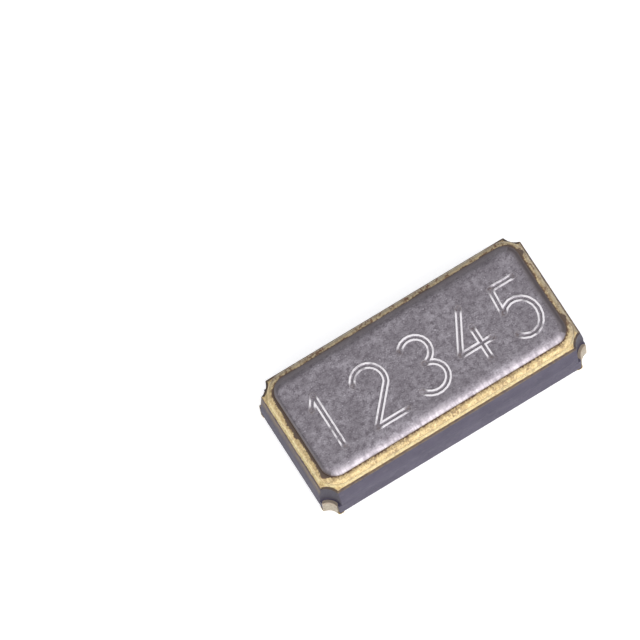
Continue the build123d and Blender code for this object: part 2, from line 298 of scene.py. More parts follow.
base_rings = ceramic_rings()
ceramic = surface("ceramic_body", *skinned(base_rings, "points"))
base_x, base_y, base_z = np.moveaxis(base_rings, -1, 0)
to_corner = np.hypot(abs(base_x) - half_length, abs(base_y) - half_width)
# painted shade: the corner notches above the floor layer are marked to be painted darker
notch_edge, notch_fade = notch + 0.010 * MM, 0.008 * MM
in_notch = np.clip((notch_edge - to_corner) / notch_fade, 0, 1)
in_notch *= base_z > plated_top + 0.02 * MM
mark(ceramic, "notch_shade", np.append(in_notch, [0, 0]))      # its two middle points come last
below_top, left_wall = ceramic_high.z - base_z, base_x < 0.03 * MM - half_length
edge_gilt = 0.6 * np.clip(1 - below_top / (0.022 * MM), 0, 1)
wall_gilt = 0.75 * np.clip(1.3 * (1 - below_top / (0.20 * MM)), 0, 1) * left_wall
mark(ceramic, "gilt", np.append(np.maximum(edge_gilt, wall_gilt), [0, 0]))
ceramic.data.materials.append(fired_alumina())
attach(ceramic, "root")
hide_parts("ceramic_base")

# ------------------------------
# Rim metal: tungsten paste printed on the ceramic's rim and fired with it, then plated with nickel
# and gold. It covers the rim almost out to the ceramic's top edge and goes round each corner notch.
rim_low, rim_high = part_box("rim_metal")
ring_low, ring_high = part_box("seal_ring")
rim_notch, rim_opening, rim_round = 0.170 * MM, 0.03 * MM, 0.007 * MM
print_back = 0.016 * MM           # the paste shrinks back a little from where it was printed
end_strip = 0.006 * MM            # points this near a short end belong to its edge
GOLD_DULL, GOLD_BRIGHT = (0.64, 0.47, 0.23, 1), (1.0, 0.80, 0.45, 1)
# the grey stands for painted shade on the far and right sides, and the brown is weighted up there as
# painted shade too
GREY_AND_SHADE_GOLD, BROWN_STAIN_AND_SHADE = (0.45, 0.395, 0.305, 1), (0.24, 0.14, 0.09, 1)
WELD_BROWN = (0.165, 0.120, 0.095, 1)


def node_group(name, vectors, floats, outputs):
    """An empty shader node group with vector and float inputs and float outputs. Gives the group, its
    inputs' sockets to read and its outputs' sockets to link to."""
    group = bpy.data.node_groups.new(name, "ShaderNodeTree")
    for way, kind, sockets in (("INPUT", "Vector", vectors), ("INPUT", "Float", floats),
                               ("OUTPUT", "Float", outputs)):
        for socket in sockets:
            group.interface.new_socket(socket, in_out=way, socket_type="NodeSocket" + kind)
    return group, group.nodes.new("NodeGroupInput").outputs, group.nodes.new("NodeGroupOutput").inputs


def metal_grain():
    """The grain that all the plated metal shares. Fineness is lumps a metre; Tone runs from 0 dark to
    1 light, Height is the relief, and Speck marks the few bright facets."""
    group, given, out = node_group("metal_grain", ["Position"], ["Fineness"], ["Tone", "Height", "Speck"])
    position, fineness = given["Position"], given["Fineness"]
    finer = times(fineness, 3.1)
    coarse = add(group, "TexNoise", {"Vector": position, "Scale": fineness, "Detail": 3.0}).outputs["Fac"]
    fine = add(group, "TexNoise", {"Vector": position, "Scale": finer, "Detail": 2.0}).outputs["Fac"]
    cells = add(group, "TexVoronoi", {"Vector": position, "Scale": finer}).outputs["Distance"]
    tone = worked("ADD", times(coarse, 0.6), times(fine, 0.4))
    height = worked("ADD", times(cells, 0.5), times(tone, 0.7))
    group.links.new(between(tone, 0.32, 0.68), out["Tone"])
    group.links.new(height, out["Height"])
    group.links.new(between(fine, 0.66, 0.76), out["Speck"])
    return group


GRAIN = metal_grain()


def grained(place, size):
    """The shared metal grain with lumps of a size, placed in a material."""
    return add(place.id_data, "Group", {"Fineness": 1 / size, "Position": place}, node_tree=GRAIN).outputs


def plated_gold(name, dull, bright, roughness):
    """Gold plate over fired paste: two shades in grains. The piece's grey-and-shade mark greys it, a
    little all over the rim and as painted shade on the far and right sides. Its stain-and-shade mark
    browns it in spots from 0 to 1, heat stains weighted up as painted shade on the far and right sides,
    and turns them into solid brown from 1 to 2."""
    material, shader, place = finish_of(name, Metallic=0.62)
    grain, stain_and_shade = grained(place, 0.026 * MM), reading(place, "stain_and_shade")
    patches = between(noise(place, 0.05 * MM, 3), 0.56, 0.66)
    spots = between(noise(place, 0.022 * MM, 2), 0.42, 0.60)
    tone = blended(grain["Tone"], dull, bright)
    # painted shade: greys the gold where the grey-and-shade mark is high
    tone = blended(reading(place, "grey_and_shade"), tone, GREY_AND_SHADE_GOLD)
    # patches of heat stain, and then spots from the stain mark that are partly painted shade
    tone = blended(times(patches, 0.35), tone, BROWN_STAIN_AND_SHADE)
    tone = blended(times(stain_and_shade, spots), tone, BROWN_STAIN_AND_SHADE)
    tone = blended(between(stain_and_shade, 1.0, 2.0), tone, WELD_BROWN)
    feed(shader, grain["Height"], 0.0026 * MM, Base_Color=tone,
         Roughness=between(grain["Tone"], 0.0, 1.0, roughness + 0.12, roughness))
    return material


def printed_rim():
    """The rim metal's rings: along its underside, up the printed edge, in over the top and down. Its
    outer edge stands back by print_back, by half of that at the right end and not at the left."""
    margin = half_length - rim_high.x
    outer = outline(half_length - margin, half_width - margin, rim_notch, margin)
    opening = outline(half_length - cavity_wall + rim_opening, half_width - cavity_wall + rim_opening,
                      cavity_corner + rim_opening)
    outer = eased(outer, 2)
    lean = np.linspace(0, np.pi / 2, 4)
    ragged = 0.0025 * MM * (rough(raised(outer[None], [0])[0], 0.03 * MM, 8) - 1)
    back = np.where(outer[:, 0] > end_strip - rim_high.x, print_back, 0.0)
    back[outer[:, 0] > rim_high.x - end_strip] *= 0.5
    way = outward(outer)
    foot = outer + way * (ragged - back)[:, None]
    edge = [foot - way * rim_round * (1 - math.cos(a)) for a in lean]
    over = [outer + (opening - outer) * t for t in (0.12, 0.4, 1.0)]
    heights = [rim_low.z, rim_low.z, *(rim_high.z - rim_round * (1 - np.sin(lean))), *[rim_high.z] * 3]
    return raised(np.stack([opening, foot, *edge, *over]), heights)


rim_rings = printed_rim()
rim = surface("rim_print", *skinned(rim_rings, "joined"))
mark(rim, "stain_and_shade", np.full(rim_rings.shape[:2], 0.1))
# a little grey all over, and painted shade at the right end
mark(rim, "grey_and_shade", np.where(rim_rings[..., 0] > ring_high.x, 0.75, 0.10))
BAND_GOLD = plated_gold("band_gold", GOLD_DULL, GOLD_BRIGHT, 0.46)
rim.data.materials.append(BAND_GOLD)
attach(rim, "root")
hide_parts("rim_metal")

# ------------------------------
# Braze: silver-copper alloy melted between the ring and the rim metal. It leaves a thin film under
# the ring and draws itself up the ring's outer side in a hollow fillet, and is plated with the rest.
braze_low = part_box("braze")[0]
ring_width, ring_corner = 0.17 * MM, 0.24 * MM
fillet_reach = rim_high.x - ring_high.x - print_back - 0.002 * MM
fillet_climb, fillet_toe = 0.068 * MM, 0.0015 * MM         # its height, and how thick its toe is
BRAZE_DULL, BRAZE_BRIGHT = (0.74, 0.58, 0.29, 1), (1.0, 0.88, 0.54, 1)


def ring_line(offset):
    """The seal ring's outer outline, moved outwards by an offset, or inwards by a negative one."""
    return outline(ring_high.x + offset, ring_high.y + offset, ring_corner + offset)


ring_way = outward(ring_line(0))
at_right, at_far = np.clip(ring_way.T, 0, 1) ** 2          # 1 where the ring faces that side
at_left, at_near = np.clip(-ring_way.T, 0, 1) ** 2


def drawn_fillet():
    """The braze's rings: the film's underside, its outer foot, a hollow arc up the ring's side, and
    back in under the ring. The arc's reach and rise wander a little along the ring, and its foot
    follows the rim metal out at the left end."""
    line = ring_line(0)
    flat_line = raised(line[None], [0])[0]
    wander = rough(flat_line, 0.22 * MM, 12) + 0.5 * rough(flat_line, 0.06 * MM, 13)
    wander = np.clip(wander, -1, 1)
    foot = fillet_reach * (0.92 + 0.08 * wander) + print_back * at_left ** 4
    rise = fillet_climb * (0.88 + 0.12 * wander)
    bend = np.linspace(0, np.pi / 2, 8)[:, None]
    out = np.concatenate([foot[None], foot * (1 - np.sin(bend))])
    height = np.concatenate([np.full((1, len(line)), braze_low.z),
                             rim_high.z + fillet_toe + rise * (1 - np.cos(bend))])
    hollow = np.concatenate([line + ring_way * out[..., None], height[..., None]], -1)
    film = raised(ring_line(-ring_width)[None], [braze_low.z])
    within = raised(np.stack([ring_line(-0.002 * MM), ring_line(-ring_width)]), [ring_low.z] * 2)
    return np.concatenate([film, hollow, within])


fillet_rings = drawn_fillet()
fillet = surface("braze_fillet", *skinned(fillet_rings, "joined"))
# painted shade: more brown spots on the right side
mark(fillet, "stain_and_shade", np.tile(0.05 + 0.45 * at_right, len(fillet_rings)))
# painted shade: greyed on the far and right sides
mark(fillet, "grey_and_shade", np.tile(0.9 * np.maximum(at_right, at_far), len(fillet_rings)))
fillet.data.materials.append(plated_gold("braze_gold", BRAZE_DULL, BRAZE_BRIGHT, 0.42))
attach(fillet, "root")
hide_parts("braze")

# ------------------------------
# Seal ring: a frame punched from iron-nickel-cobalt strip, which shrinks as the ceramic does, then
# plated with nickel and gold. The welding current browns it along the lid's foot. Spots of brown,
# heavier on the far and right sides, are partly stains and partly painted shade, and its far and right
# sides are greyed as painted shade.
lid_low, lid_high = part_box("lid")
shoulder_in, shoulder_down = 0.042 * MM, 0.034 * MM    # the eased outer edge, wider than tall
lid_line = ring_high.x - lid_high.x                    # how far in the lid's foot stands
dented_in, hole_edge = 0.085 * MM, 0.01 * MM           # how far in dents go, and the hole's cut edge


def punched_ring():
    """The ring's rings: out along its underside, up the side, round the eased edge, in over the top
    with shallow ripples, and down the hole. Also their profile, as offset and height."""
    turn = np.linspace(0, np.pi / 2, 10)[1:]
    top_z = ring_high.z
    side = [(0.0, z) for z in np.linspace(ring_low.z, top_z - shoulder_down, 7)]
    edge = [(-shoulder_in * (1 - math.cos(a)), top_z - shoulder_down * (1 - math.sin(a))) for a in turn]
    top = [(-shoulder_in - step, top_z) for step in np.linspace(0.004, 0.050, 9) * MM]
    inner = [(hole_edge - ring_width, top_z), (-ring_width, top_z - hole_edge), (-ring_width, ring_low.z)]
    profile = np.array(side + edge + top + inner)
    rings = raised(np.stack([ring_line(offset) for offset in profile[:, 0]]), profile[:, 1])
    shown = (profile[:, 0] > -dented_in) & (profile[:, 1] > ring_low.z + 0.001 * MM)
    dents = rough(rings, 0.05 * MM, 21) + 0.6 * rough(rings, 0.020 * MM, 22) - 1.6
    dents *= shown[:, None]
    rings[..., :2] += outward(rings[..., :2]) * (dents * 0.0010 * MM)[..., None]
    rings[..., 2] += dents * 0.0008 * MM
    return rings, profile


ring_rings, ring_profile = punched_ring()
ring = surface("seal_frame", *skinned(ring_rings, "joined"))
at_end = ring_way[:, 0] ** 2
from_lid, on_top = abs(ring_profile[:, :1] + lid_line), ring_profile[:, 1:] > ring_high.z - shoulder_down
heat_reach = (0.026 + 0.022 * at_end) * MM    # how far from the lid the weld browned the gold
heated = np.clip(1.6 * (1 - from_lid / heat_reach), 0, 1) * on_top
heated *= np.clip(0.55 + 0.35 * at_end + 0.8 * rough(ring_rings, 0.28 * MM, 31), 0, 1)
beads = np.clip(0.42 + 1.8 * rough(ring_rings, 0.060 * MM, 33), 0, 1)
# brown spots, weighted as painted shade: heaviest on the far side, then the right, then the near
spots_and_shade = (0.85 * at_far + 0.65 * at_right + 0.45 * at_near + 0.20) * beads
ring_y = ring_rings[0, :, 1] / MM    # the rollers slowed at two places on the right
halted = np.clip((ring_y - 0.24) / 0.12, 0, 1) + np.exp(-((ring_y + 0.39) / 0.05) ** 2)
weld_width = 0.004 + 0.040 * at_end ** 2 + 0.012 * at_far + at_right * (0.040 * halted - 0.027 * at_right)
weld_width = weld_width * MM * (1 + 0.7 * rough(ring_rings, 0.075 * MM, 32))
welded = np.clip((weld_width - from_lid) / (0.018 * MM) + 0.5, 0, 1) * on_top
mark(ring, "stain_and_shade", np.maximum(heated, spots_and_shade) * (1 - welded) + 2 * welded)
# painted shade: the far and right sides are greyed, most over the eased outer edge
over_edge = np.clip((ring_profile[:, :1] + shoulder_in) / (0.02 * MM), 0, 1)
mark(ring, "grey_and_shade", 0.45 * at_far + 0.25 * at_right + 0.45 * np.maximum(at_far, at_right) * over_edge)
ring.data.materials.append(BAND_GOLD)
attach(ring, "root")
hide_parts("seal_ring")

# ------------------------------
# Lid: a nickel-plated plate of the same alloy. Two tapered rollers run along its edges in vacuum and
# weld it to the ring, which presses its border down into a soft streaked slope. The border carries
# painted shade on the far, left and right sides, and a painted sheen in its streaks on the near side.
# A laser has cut plain digits into it, each line a burnt groove between two lips painted white as a
# highlight.
lid_edge_drop, lid_corner = 0.036 * MM, 0.17 * MM
side_roll, left_roll, right_roll = 0.152 * MM, 0.060 * MM, 0.118 * MM      # widths of the pressed border
lid_skim = 0.0016 * MM                       # the flat lies this far down, which leaves room for the lips
lip_height, lip_place, lip_width = 0.0016 * MM, 0.025 * MM, 0.009 * MM
groove_depth, groove_width = 0.002 * MM, 0.014 * MM
digit_height, digit_pitch, first_digit, base_line = 0.64 * MM, 0.565 * MM, -1.13 * MM, -0.385 * MM
NICKEL_DARK, NICKEL_LIGHT = (0.215, 0.190, 0.215, 1), (0.50, 0.462, 0.508, 1)
NICKEL_GLINT, SCRATCHED = (0.78, 0.75, 0.80, 1), (0.80, 0.77, 0.82, 1)
# painted highlight colour for the digits' lips
LIP_HIGHLIGHT = (1.0, 0.955, 0.985, 1)
STREAK_DARK, STREAK_LIGHT = (0.32, 0.287, 0.317, 1), (0.565, 0.517, 0.552, 1)
# painted shade for the border on the far, left and right sides, and the foot's brown, partly painted
# shade
SLOPE_SHADE_DARK, FOOT_BROWN_AND_SHADE = (0.092, 0.074, 0.078, 1), (0.12, 0.070, 0.050, 1)
BURNT_END, GROOVE_FLOOR = (0.17, 0.115, 0.090, 1), (0.24, 0.21, 0.235, 1)


def arc(x, y, radius_x, radius_y, start, end):
    """Points of a part of an ellipse, from one angle in degrees to another."""
    turn = np.radians(np.linspace(start, end, 15))
    return np.stack([x + radius_x * np.cos(turn), y + radius_y * np.sin(turn)], 1)


def digit_strokes():
    """The strokes of the digits 1 to 5 in a cell one high, from y 0 at the foot to y 1 at the head."""
    hook_of_two = np.concatenate([arc(0, 0.72, 0.27, 0.28, 165, -28), [(-0.28, 0.0)]])
    digits = [
        [[(-0.14, 0.80), (0.0, 1.0)], [(0.0, 1.0), (0.0, 0.0)]],
        [hook_of_two, [(-0.28, 0.0), (0.30, 0.0)]],
        [arc(0, 0.75, 0.25, 0.25, 150, -85), arc(0, 0.25, 0.28, 0.26, 85, -150)],
        [[(0.08, 1.0), (-0.30, 0.30)], [(-0.30, 0.30), (0.30, 0.30)], [(0.10, 0.62), (0.10, 0.0)]],
        [[(0.25, 1.0), (-0.20, 1.0)], [(-0.20, 1.0), (-0.23, 0.56)], arc(0, 0.33, 0.29, 0.33, 140, -140)],
    ]
    return [[np.array(stroke) for stroke in strokes] for strokes in digits]


def stroke_distance(x, y):
    """Distance of every point to the nearest stroke, and to the nearest end of one."""
    nearest, nearest_end = np.full(x.shape, 1.0), np.full(x.shape, 1.0)
    half_cell, margin = 0.4 * MM, 0.08 * MM
    in_height = (y > base_line - margin) & (y < base_line + digit_height + margin)
    for place, strokes in enumerate(digit_strokes()):
        for stroke in strokes:
            path = stroke * digit_height + (first_digit + place * digit_pitch, base_line)
            close = (abs(x - path[:, 0].mean()) < half_cell) & in_height
            spots = np.stack([x[close], y[close]], 1)[:, None]
            start, run = path[:-1], np.diff(path, axis=0)
            share = np.clip(((spots - start) * run).sum(-1) / (run ** 2).sum(-1), 0, 1)
            apart = np.linalg.norm(spots - start - share[..., None] * run, axis=-1).min(1)
            to_end = np.linalg.norm(spots - path[[0, -1]], axis=-1).min(1)
            nearest[close] = np.minimum(nearest[close], apart)
            nearest_end[close] = np.minimum(nearest_end[close], to_end)
    return nearest, nearest_end


def spaced(stops, steps):
    """Numbers from stop to stop, each stretch cut into its own count of equal steps."""
    runs = [np.linspace(a, b, n, endpoint=False) for a, b, n in zip(stops[:-1], stops[1:], steps)]
    return np.concatenate(runs + [[stops[-1]]])


def lid_grid():
    """The lid's x and y on a grid of columns and rows. Each column is as long as the lid is wide there,
    so the grid squeezes together at the ends and follows the round corners. The rows lie closest
    over the digits."""
    straight = lid_high.x - lid_corner
    rounded = straight + lid_corner * np.sin(np.linspace(0, np.pi / 2, 27))
    columns = np.concatenate([-rounded[:0:-1], np.linspace(-straight, straight, 371), rounded[1:]])
    rows = spaced([-1, -0.66, 0.46, 1], [28, 104, 30])
    past = np.clip(abs(columns) - straight, 0, None)
    span = lid_high.y - lid_corner + np.sqrt(lid_corner ** 2 - past ** 2)
    return np.broadcast_to(columns[:, None], (len(columns), len(rows))), span[:, None] * rows


def lid_top():
    """The lid's upper surface, and the marks its material reads. Its height falls from the flat top by
    the third power of how far a point is out over the rolled border, so the slope steepens towards
    the edge. The lips and grooves of the digits follow a bell curve across each stroke. The cut mark
    is how deep the laser went: it wanders along a stroke and fades at its ends."""
    x, y = lid_grid()
    over_x, over_y = abs(x) - (lid_high.x - lid_corner), abs(y) - (lid_high.y - lid_corner)
    out_x, out_y = np.clip(over_x, 0, None), np.clip(over_y, 0, None)
    inside = lid_corner - np.hypot(out_x, out_y) - np.minimum(np.maximum(over_x, over_y), 0)
    inside = np.clip(inside, 0, None)
    flat = np.stack([x, y, np.zeros_like(x)], -1)
    long_side = np.maximum(out_y, 1e-9) ** 2
    long_side = long_side / (np.maximum(out_x, 1e-9) ** 2 + long_side)
    end_roll = np.where(x < 0, left_roll, right_roll)
    width = (end_roll + (side_roll - end_roll) * long_side) * (1 + 0.12 * rough(flat, 0.35 * MM, 41))
    slope = np.clip(1 - inside / width, 0, 1)
    along_y = over_y > over_x
    near = np.clip(-y / lid_high.y, 0, 1) ** 2
    fine = rough(flat / np.where(along_y[..., None], (0.014, 0.16, 1), (0.16, 0.014, 1)), MM, 42)
    streaks_and_sheen = 0.5 * fine + 0.6 * rough(flat / (0.06, 0.13, 1), MM, 44)
    # painted sheen: the streaks stay mostly on the near long slope, where the light falls
    streaks_and_sheen = streaks_and_sheen * (0.15 + 0.85 * near * along_y)       # fine lines square to the edge
    apart, to_end = stroke_distance(x, y)
    cut = np.clip(0.95 + 0.8 * rough(flat, 0.20 * MM, 51) + 0.6 * rough(flat, 0.045 * MM, 52), 0.1, 1)
    cut *= np.clip((to_end / MM - 0.028) / 0.030, 0, 1)
    lip = np.exp(-((apart - lip_place) / lip_width) ** 2) * cut
    groove = np.exp(-(apart / groove_width) ** 2) * np.clip(cut + 0.2, 0, 1)
    # painted shade: the border darkens towards its foot on the far, left and right sides, not on the near
    # long slope
    on_right = (x > 0) & ~along_y
    slope_shade = np.clip((slope - np.where(on_right, 0.15, 0.35)) / 0.65, 0, 1)
    slope_shade = slope_shade ** 2 * (3 - 2 * slope_shade) * np.where(on_right, 1.0, 0.88) * (1 - near * along_y)
    # brown line at the foot, partly painted shade in the crease by the ring, lighter on the near long
    # side
    foot = np.clip((slope - 0.93) / 0.07, 0, 1) * (0.75 - 0.35 * near * along_y)
    ripple = 0.0009 * MM * streaks_and_sheen * slope + 0.0006 * MM * rough(flat, 0.06 * MM, 43)
    height = lid_high.z - lid_edge_drop * slope ** 3 - lid_skim + ripple
    height += lip_height * lip - groove_depth * groove
    top = np.stack([x, y, np.minimum(height, lid_high.z)], -1)
    return top, {"stroke": apart / MM, "stroke_end": to_end / MM, "cut": cut, "slope": slope,
                 "streaks_and_sheen": streaks_and_sheen, "slope_shade": slope_shade, "foot": foot}


def closed_below(top):
    """Points and faces of the lid: its top, a wall down from the top's edge with a small round at its
    foot, and a fan that closes the underside."""
    index = np.arange(top[..., 0].size).reshape(top.shape[:2])
    quads = np.stack([index[:-1, :-1], index[1:, :-1], index[1:, 1:], index[:-1, 1:]], -1)
    faces = quads.reshape(-1, 4).tolist()
    border = np.concatenate([index[:-1, 0], index[-1, :-1], index[:0:-1, -1], index[0, :0:-1]])
    brim = top.reshape(-1, 3)[border]
    wall_in, wall_up = np.array([0.0, 0.001, 0.006]) * MM, np.array([0.014, 0.007, 0.0]) * MM
    walls = raised(brim[:, :2] - outward(brim[:, :2]) * wall_in[:, None, None], lid_low.z + wall_up)
    points = np.concatenate([top.reshape(-1, 3), walls.reshape(-1, 3), [(0, 0, lid_low.z)]])
    belts = [border] + [index.size + np.arange(len(border)) + i * len(border) for i in range(3)]
    for upper, lower in zip(belts[:-1], belts[1:]):
        faces += np.stack([lower, np.roll(lower, -1), np.roll(upper, -1), upper], -1).tolist()
    last = np.full(len(border), len(points) - 1)
    faces += np.stack([last, np.roll(belts[-1], -1), belts[-1]], -1).tolist()
    return points, faces


def scratch_lines():
    """The short scratches that the lid and the pads share. A noise of Fineness lumps a metre is drawn
    out by Turn and Stretch. It shows above 0.70, and at full Strength above Line. A second noise, of
    Spread lumps a metre, keeps it to patches: none below Bare, all above Scored."""
    group, given, out = node_group("scratch_lines", ["Position", "Turn", "Stretch"],
                                   ["Fineness", "Line", "Strength", "Spread", "Bare", "Scored"], ["Mask"])
    place, turned = given["Position"], {"Rotation": given["Turn"], "Scale": given["Stretch"]}
    drawn = add(group, "Mapping", {"Vector": place, **turned}).outputs["Vector"]
    lines = add(group, "TexNoise", {"Vector": drawn, "Scale": given["Fineness"], "Detail": 1.0})
    patches = add(group, "TexNoise", {"Vector": place, "Scale": given["Spread"], "Detail": 1.0})
    shown = between(lines.outputs["Fac"], 0.70, given["Line"], 0.0, given["Strength"])
    where = between(patches.outputs["Fac"], given["Bare"], given["Scored"])
    group.links.new(times(shown, where), out["Mask"])
    return group


SCRATCHES = scratch_lines()


def scratched(place, **values):
    """The shared scratches with a material's own values, as a mask."""
    return add(place.id_data, "Group", {"Position": place, **values}, node_tree=SCRATCHES).outputs["Mask"]


def rolled_nickel():
    """Nickel plate, dull grey with a faint warm purple, mottled by the annealed grain and scratched in
    patches. The slope mark burnishes and streaks it, the streaks carrying a painted sheen on the near
    slope. The slope-shade mark is painted shade that darkens and dulls the border on the far, left and
    right sides, and the foot mark browns the border's foot, partly as a weld line and partly as painted
    shade in the crease by the ring. The stroke and cut marks draw the digits' lips, painted white as a
    highlight, their dark grooves and burnt ends."""
    material, shader, place = finish_of("rolled_nickel")
    read = {name: reading(place, name) for name in lid_marks}
    grain = grained(place, 0.050 * MM)
    cloud = between(noise(place, 0.20 * MM, 4), 0.40, 0.62, 0.0, 0.45)
    scratch = scratched(place, Turn=(0, 0, 0.5), Stretch=(0.10, 1.0, 1.0), Fineness=1 / (0.010 * MM),
                        Line=0.80, Strength=0.55, Spread=1 / (0.22 * MM), Bare=0.54, Scored=0.66)
    pressed = worked("ADD", read["slope"], times(read["streaks_and_sheen"], 0.16))
    pressed = between(pressed, 0.35, 0.95, 0.0, 0.9)
    # the border's streaked tone, whose contrast on the near slope is painted sheen
    rubbed_and_sheen = blended(between(read["streaks_and_sheen"], -0.5, 0.6), STREAK_DARK, STREAK_LIGHT)
    # painted highlight: the lips are painted near white and matt
    off_lip = worked("ABSOLUTE", worked("SUBTRACT", read["stroke"], lip_place / MM))
    lip = times(between(off_lip, 0.0075, 0.0142, 1.0, 0.0), read["cut"])
    groove = times(between(read["stroke"], 0.008, 0.018, 1.0, 0.0), read["cut"])
    singed = between(noise(place, 0.03 * MM, 2), 0.40, 0.62)
    burnt = times(between(read["stroke_end"], 0.005, 0.060, 0.5, 0.0), singed)
    tone = blended(grain["Tone"], NICKEL_DARK, NICKEL_LIGHT)
    for share, colour in ((cloud, NICKEL_DARK), (times(grain["Speck"], 0.7), NICKEL_GLINT),
                          (scratch, SCRATCHED), (pressed, rubbed_and_sheen),
                          (read["slope_shade"], SLOPE_SHADE_DARK), (read["foot"], FOOT_BROWN_AND_SHADE), (burnt, BURNT_END),
                          (times(groove, 0.35), GROOVE_FLOOR), (lip, LIP_HIGHLIGHT)):
        tone = blended(share, tone, colour)
    # the painted shade, the foot and the lips are made matt
    matt = worked("MAXIMUM", lip, times(read["slope_shade"], 1.2))
    matt = worked("MAXIMUM", matt, read["foot"])
    gloss = between(grain["Tone"], 0.0, 1.0, 0.42, 0.32)
    gloss = worked("ADD", gloss, times(lip, 0.2))
    height = worked("ADD", grain["Height"], times(lip, 1.5))
    feed(shader, height, 0.0022 * MM, Base_Color=tone,
         Metallic=between(matt, 0.0, 1.0, 1.0, 0.1), Roughness=gloss)
    return material


top_points, lid_marks = lid_top()
lid_points, lid_faces = closed_below(top_points)
lid = surface("welded_lid", lid_points, lid_faces)
# the lid's wall takes the painted shade and the foot's brown
wall_marks = {"stroke": 1.0, "stroke_end": 1.0, "cut": 0.0, "slope": 1.0, "streaks_and_sheen": 0.0,
              "slope_shade": 0.8, "foot": 0.75}
wall_points = len(lid_points) - top_points[..., 0].size
for mark_name, values in lid_marks.items():
    mark(lid, mark_name, np.append(values, np.full(wall_points, wall_marks[mark_name])))
lid.data.materials.append(rolled_nickel())
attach(lid, "root")
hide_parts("lid")

# ------------------------------
# Solder pads: paste printed on the underside and drawn through the corner holes, fired with the
# ceramic and plated with nickel and gold. Each pad runs out round its notches and up inside them.
pad_ear, lining_radius, pad_round = 0.19 * MM, 0.120 * MM, 0.010 * MM
signal_pad_width, pad_margin, ground_chamfer = 0.44 * MM, 0.09 * MM, 0.27 * MM
flange_radius, flange_film, lining_foot = 0.163 * MM, 0.002 * MM, 0.001 * MM
bare_end, bare_side = 0.05, 0.20      # the paste shrinks back from a notch's two lips, as angles
PAD_DARK, PAD_BRIGHT = (0.46, 0.31, 0.12, 1), (0.80, 0.62, 0.30, 1)
PAD_PIT, PAD_SCRATCH = (0.20, 0.13, 0.06, 1), (0.13, 0.07, 0.035, 1)
LINING_DARK, LINING_LIGHT = (0.36, 0.310, 0.240, 1), (0.50, 0.440, 0.350, 1)
FLANGE_TAN = (0.48, 0.395, 0.310, 1)


def stretch(points, step):
    """A closed chain of corner points with even points filled in between, about one step apart."""
    runs = []
    for start, end in zip(points, np.roll(points, -1, 0)):
        count = max(1, round(float(np.linalg.norm(end - start)) / step))
        runs.append(start + (end - start) * np.linspace(0, 1, count, endpoint=False)[:, None])
    return np.concatenate(runs)


def pad_plan(low, high, notched_corners, chamfered):
    """A pad's outline: a rectangle that runs out square to the ceramic's sides beside each notch, is
    cut there by the notch's circle, and may have its inner corner at -Y cut off."""
    turn = np.linspace(0, np.pi / 2, 14)
    corners = []
    for way_x, way_y in ((1, -1), (1, 1), (-1, 1), (-1, -1)):
        x, y = (high[0] if way_x > 0 else low[0]), (high[1] if way_y > 0 else low[1])
        edge_x, edge_y = way_x * half_length, way_y * half_width
        ear_x, ear_y = edge_x - way_x * pad_ear, edge_y - way_y * pad_ear
        if (way_x, way_y) in notched_corners:
            bite = np.stack([edge_x - way_x * lining_radius * np.sin(turn),
                             edge_y - way_y * lining_radius * np.cos(turn)], 1)
            chain = np.concatenate([[(x, ear_y), (edge_x, ear_y)], bite, [(ear_x, edge_y), (ear_x, y)]])
            corners.append(chain if way_x * way_y > 0 else chain[::-1])
        elif chamfered and (way_x, way_y) == (-1, -1):
            corners.append(np.array([(x, y + ground_chamfer), (x + ground_chamfer, y)]))
        else:
            corners.append(np.array([(x, y)]))
    return eased(stretch(np.concatenate(corners), 0.010 * MM), 3)


def pad_sheet(low, high, notched_corners, chamfered):
    """A pad's rings: its outline, set in round its soft lower edge, and carried up to the ceramic."""
    plan = pad_plan(low, high, notched_corners, chamfered)
    lean = np.linspace(0, np.pi / 2, 5)
    rounded = [plan - outward(plan) * pad_round * (1 - math.sin(a)) for a in lean]
    heights = [pad_round * (1 - math.cos(a)) for a in lean] + [ceramic_low.z]
    return raised(np.stack(rounded + [plan]), heights)


def notch_lining(corner_x, corner_y):
    """The plating in one notch, as profiles set side by side round the corner: a quarter of a thin
    sleeve, with a flange at its top where the paste ran out over the floor layer, ragged at its edge."""
    turn = np.linspace(bare_end, np.pi / 2 - bare_side, 26)
    top = plated_top + flange_film
    radius = np.array([lining_radius, lining_radius, lining_radius + 0.005 * MM, flange_radius,
                       flange_radius, plated_notch, plated_notch])
    height = np.array([lining_foot, plated_top - 0.008 * MM, top, top,
                       plated_top, plated_top, lining_foot])
    radial = np.stack([-np.sign(corner_x) * np.sin(turn), -np.sign(corner_y) * np.cos(turn)], 1)
    wave = np.sin(turn * 9 + corner_x * 4000) * np.cos(turn * 4 + corner_y * 900)
    ragged = 1 - 0.05 * (0.5 + 0.5 * wave) - 0.15 * np.linspace(-1, 1, len(turn)) ** 8
    radius = np.where(radius == flange_radius, radius * ragged[:, None], radius)
    swell = 1 - 0.035 * np.sin(turn * 2)[:, None] * np.array([1, 0.4, 0, 0, 0, 0, 0])
    place = np.array([corner_x, corner_y]) + radial[:, None] * (radius * swell)[..., None]
    rings = np.concatenate([place, np.broadcast_to(height, radius.shape)[..., None]], -1)
    return rings[::-1] if corner_x * corner_y > 0 else rings


def plated_piece(name, sheet, linings):
    """One object out of a pad's sheet and linings, each a closed surface. Its lining mark is 0 on the
    sheet, and on a lining it runs from a half at the foot to one at the top."""
    stacks = [sheet] + linings
    starts = np.cumsum([0] + [rings[..., 0].size for rings in stacks])
    parts = [skinned(rings, "flat", start) for rings, start in zip(stacks, starts)]
    points = np.concatenate([points for points, _ in parts])
    made = surface(name, points, sum([faces for _, faces in parts], []))
    on_lining = np.arange(len(points)) >= starts[1]
    mark(made, "lining", on_lining * (0.5 + 0.5 * points[:, 2] / plated_top))
    return made


